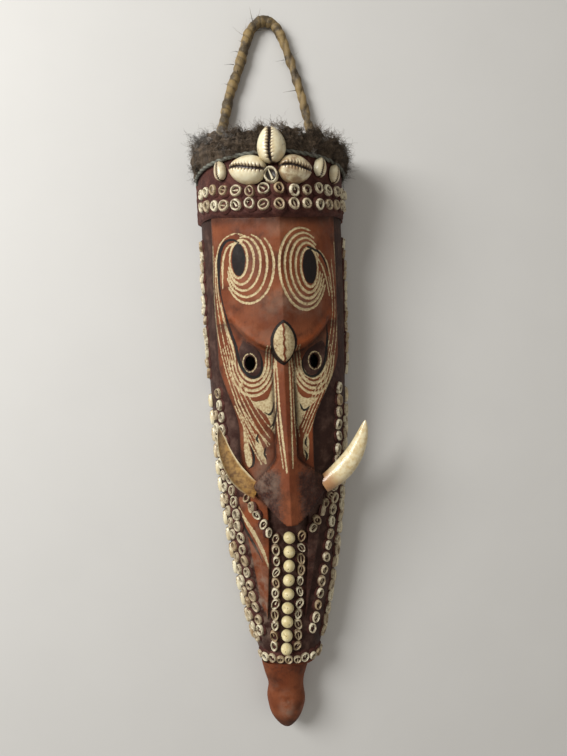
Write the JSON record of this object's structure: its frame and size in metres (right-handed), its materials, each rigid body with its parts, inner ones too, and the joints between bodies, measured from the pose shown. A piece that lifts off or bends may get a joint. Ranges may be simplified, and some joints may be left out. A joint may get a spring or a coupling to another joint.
{
  "type": "boar tusk mask",
  "caption": "Long carved wooden mask with spiral-painted eyes, a long nose with tusks at its wings, cowrie headband, rows of cut shells, hair and a hanging loop, lying on its hollow back.",
  "frame": {"origin": "on the surface the mask lies on, under the middle of the mask", "axes": "+Y along the mask to its hair and hanging loop, +X to the right of the face as it is seen, +Z out of the face"},
  "size_m": [0.1396, 0.5862, 0.0831],
  "materials": {
    "painted_wood": "hand carved, red ochre ground with cream and black painted lines",
    "dark_paste": "dry dark brown clay paste",
    "hair": "curly dark hair",
    "plant_fibre": "cane wrapped with split plant fibre",
    "tusk": "smooth boar tusk, stained at the root",
    "cowrie": "glossy shell",
    "cut_shell": "ground shell set in paste",
    "seed": "dry polished seed"
  },
  "bodies": {
    "root": {"mask_body": "painted_wood", "headband": "dark_paste", "hair_fringe": "hair", "hanging_loop": "plant_fibre", "loop_knot_left": "plant_fibre", "loop_knot_right": "plant_fibre", "tusk_left": "tusk", "tusk_right": "tusk", "crest_cowrie_top": "cowrie", "crest_cowrie_left": "cowrie", "crest_cowrie_right": "cowrie", "band_cowrie_left": "cowrie", "band_cowrie_right": "cowrie", "band_cowrie_far_right": "cowrie", "band_shells_upper": "cut_shell", "band_shells_lower": "cut_shell", "rim_shells_left_upper": "cut_shell", "rim_shells_right_upper": "cut_shell", "rim_cowries_left": "cowrie", "rim_cowries_right": "cowrie", "rim_shells_left_middle": "cut_shell", "rim_shells_right_middle": "cut_shell", "rim_shells_left_inner": "cut_shell", "rim_shells_right_inner": "cut_shell", "collar_shells": "cut_shell", "chin_shells_left": "cut_shell", "chin_shells_right": "cut_shell", "chin_seed_1": "seed", "chin_seed_2": "seed", "chin_seed_3": "seed", "chin_seed_4": "seed", "chin_seed_5": "seed", "chin_seed_6": "seed", "chin_seed_7": "seed", "chin_seed_8": "seed", "chin_seed_9": "seed"}
  },
  "joints": []
}
